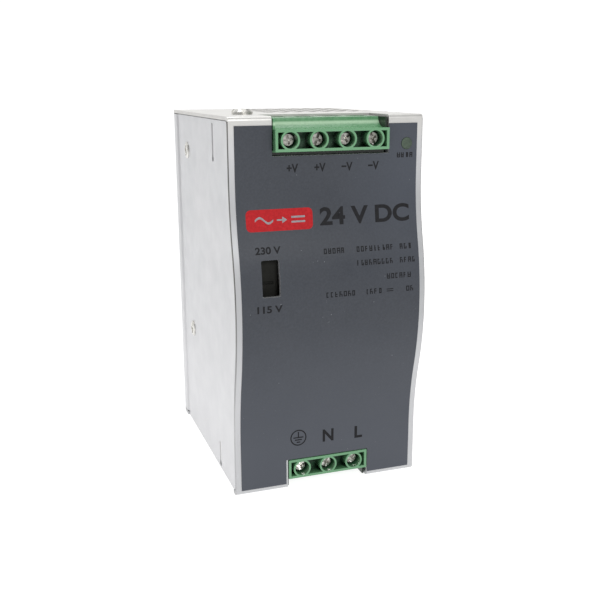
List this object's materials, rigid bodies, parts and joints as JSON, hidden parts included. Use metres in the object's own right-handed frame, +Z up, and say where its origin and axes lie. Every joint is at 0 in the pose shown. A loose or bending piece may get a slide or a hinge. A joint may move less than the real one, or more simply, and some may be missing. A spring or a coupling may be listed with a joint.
{
  "type": "din rail power supply",
  "caption": "Slim metal-cased power supply with an S-curved front, recessed screw terminals above and below, a selector slot and a spring latch for a mounting rail.",
  "frame": {"origin": "middle of the bottom face, half way between the front bulge's crest and the rail hooks' rear tips", "axes": "+Z up, +X to the right seen from the front, -Y out of the front face"},
  "size_m": [0.0654, 0.1, 0.1269],
  "materials": {
    "case_aluminium": "fine brushed, satin",
    "label_film": "printed polyester film",
    "green_polyamide": "moulded, satin",
    "nickel_screw": "nickel plated",
    "zinc_steel": "zinc plated",
    "tinned_contact": "tin plated",
    "board_laminate": "glass epoxy, solder mask",
    "insulation": "polyester film",
    "black_plastic": "moulded",
    "red_slider": "moulded",
    "lamp_lens": "tinted, diffuse",
    "blue_trimmer": "moulded",
    "white_rotor": "moulded",
    "fuse_glass": "glass and nickel caps",
    "thermistor_coat": "dipped",
    "film_capacitor": "moulded",
    "ceramic_blue": "dipped",
    "ferrite": "sintered",
    "copper_wire": "enamelled",
    "winding_tape": "tape",
    "can_sleeve": "shrink sleeve",
    "sink_aluminium": "extruded"
  },
  "bodies": {
    "case": {"board_links": "black_plastic", "board_screws": "nickel_screw", "board_standoffs": "nickel_screw", "bottom_screws": "nickel_screw", "bracket_screws": "nickel_screw", "bridge_rectifier": "black_plastic", "bulk_capacitors": "can_sleeve", "chassis": "case_aluminium", "control_chips": "black_plastic", "filter_choke_core": "ferrite", "filter_choke_winding": "copper_wire", "front_cover": "case_aluminium", "front_label": "label_film", "fuse": "fuse_glass", "input_board": "board_laminate", "input_contacts": "tinned_contact", "input_terminal_housing": "green_polyamide", "insulation_sheet": "insulation", "lamp_spacer": "black_plastic", "latch_spring": "zinc_steel", "main_board": "board_laminate", "output_board": "board_laminate", "output_capacitors": "can_sleeve", "output_choke_core": "ferrite", "output_choke_winding": "copper_wire", "output_contacts": "tinned_contact", "output_heat_sink": "sink_aluminium", "output_rectifiers": "black_plastic", "output_terminal_housing": "green_polyamide", "primary_heat_sink": "sink_aluminium", "rail_bracket": "zinc_steel", "selector_body": "black_plastic", "side_panel": "case_aluminium", "side_screws": "nickel_screw", "status_lamp": "lamp_lens", "switching_transistor": "black_plastic", "thermistor": "thermistor_coat", "top_screw": "nickel_screw", "transformer_core": "ferrite", "transformer_winding": "winding_tape", "trimmer_body": "blue_trimmer", "x_capacitor": "film_capacitor", "y_capacitors": "ceramic_blue"},
    "output_screw_1": {"output_screw_1": "nickel_screw"},
    "output_clamp_1": {"output_clamp_1": "zinc_steel"},
    "output_screw_2": {"output_screw_2": "nickel_screw"},
    "output_clamp_2": {"output_clamp_2": "zinc_steel"},
    "output_screw_3": {"output_screw_3": "nickel_screw"},
    "output_clamp_3": {"output_clamp_3": "zinc_steel"},
    "output_screw_4": {"output_screw_4": "nickel_screw"},
    "output_clamp_4": {"output_clamp_4": "zinc_steel"},
    "input_screw_1": {"input_screw_1": "nickel_screw"},
    "input_clamp_1": {"input_clamp_1": "zinc_steel"},
    "input_screw_2": {"input_screw_2": "nickel_screw"},
    "input_clamp_2": {"input_clamp_2": "zinc_steel"},
    "input_screw_3": {"input_screw_3": "nickel_screw"},
    "input_clamp_3": {"input_clamp_3": "zinc_steel"},
    "selector_slider": {"selector_slider": "red_slider"},
    "rail_latch": {"rail_latch": "zinc_steel"},
    "trimmer_rotor": {"trimmer_rotor": "white_rotor"}
  },
  "joints": [
    {"name": "output_screw_1_turn", "type": "hinge", "parent": "case", "child": "output_screw_1", "pos_m": [-0.0136, -0.042, 0.1179], "axis": [0, 1, 0], "range_deg": [0, 2520]},
    {"name": "output_clamp_1_rise", "type": "slide", "parent": "case", "child": "output_clamp_1", "axis": [0, -1, 0], "range_m": [0, 0.0035]},
    {"name": "output_screw_2_turn", "type": "hinge", "parent": "case", "child": "output_screw_2", "pos_m": [-0.0041, -0.042, 0.1179], "axis": [0, 1, 0], "range_deg": [0, 2520]},
    {"name": "output_clamp_2_rise", "type": "slide", "parent": "case", "child": "output_clamp_2", "axis": [0, -1, 0], "range_m": [0, 0.0035]},
    {"name": "output_screw_3_turn", "type": "hinge", "parent": "case", "child": "output_screw_3", "pos_m": [0.0054, -0.042, 0.1179], "axis": [0, 1, 0], "range_deg": [0, 2520]},
    {"name": "output_clamp_3_rise", "type": "slide", "parent": "case", "child": "output_clamp_3", "axis": [0, -1, 0], "range_m": [0, 0.0035]},
    {"name": "output_screw_4_turn", "type": "hinge", "parent": "case", "child": "output_screw_4", "pos_m": [0.0149, -0.042, 0.1179], "axis": [0, 1, 0], "range_deg": [0, 2520]},
    {"name": "output_clamp_4_rise", "type": "slide", "parent": "case", "child": "output_clamp_4", "axis": [0, -1, 0], "range_m": [0, 0.0035]},
    {"name": "input_screw_1_turn", "type": "hinge", "parent": "case", "child": "input_screw_1", "pos_m": [-0.0092, -0.03945, 0.0067], "axis": [0, 1, 0], "range_deg": [0, 2520]},
    {"name": "input_clamp_1_rise", "type": "slide", "parent": "case", "child": "input_clamp_1", "axis": [0, -1, 0], "range_m": [0, 0.0035]},
    {"name": "input_screw_2_turn", "type": "hinge", "parent": "case", "child": "input_screw_2", "pos_m": [0.0003, -0.03945, 0.0067], "axis": [0, 1, 0], "range_deg": [0, 2520]},
    {"name": "input_clamp_2_rise", "type": "slide", "parent": "case", "child": "input_clamp_2", "axis": [0, -1, 0], "range_m": [0, 0.0035]},
    {"name": "input_screw_3_turn", "type": "hinge", "parent": "case", "child": "input_screw_3", "pos_m": [0.0098, -0.03945, 0.0067], "axis": [0, 1, 0], "range_deg": [0, 2520]},
    {"name": "input_clamp_3_rise", "type": "slide", "parent": "case", "child": "input_clamp_3", "axis": [0, -1, 0], "range_m": [0, 0.0035]},
    {"name": "selector_slide", "type": "slide", "parent": "case", "child": "selector_slider", "axis": [0, 0, 1], "range_m": [0, 0.004]},
    {"name": "rail_latch_slide", "type": "slide", "parent": "case", "child": "rail_latch", "axis": [0, 0, -1], "range_m": [0, 0.005], "stiffness_N_per_m": 1500, "springref_m": -0.006, "deforming": ["latch_spring"]},
    {"name": "trimmer_turn", "type": "hinge", "parent": "case", "child": "trimmer_rotor", "pos_m": [0.022, -0.0175, 0.1178], "axis": [0, 0, 1], "range_deg": [-130, 130]}
  ],
  "couplings": [
    {"joint": "output_screw_1_turn", "follows": "output_clamp_1_rise", "rad_per_m": 12566},
    {"joint": "output_screw_2_turn", "follows": "output_clamp_2_rise", "rad_per_m": 12566},
    {"joint": "output_screw_3_turn", "follows": "output_clamp_3_rise", "rad_per_m": 12566},
    {"joint": "output_screw_4_turn", "follows": "output_clamp_4_rise", "rad_per_m": 12566},
    {"joint": "input_screw_1_turn", "follows": "input_clamp_1_rise", "rad_per_m": 12566},
    {"joint": "input_screw_2_turn", "follows": "input_clamp_2_rise", "rad_per_m": 12566},
    {"joint": "input_screw_3_turn", "follows": "input_clamp_3_rise", "rad_per_m": 12566}
  ]
}
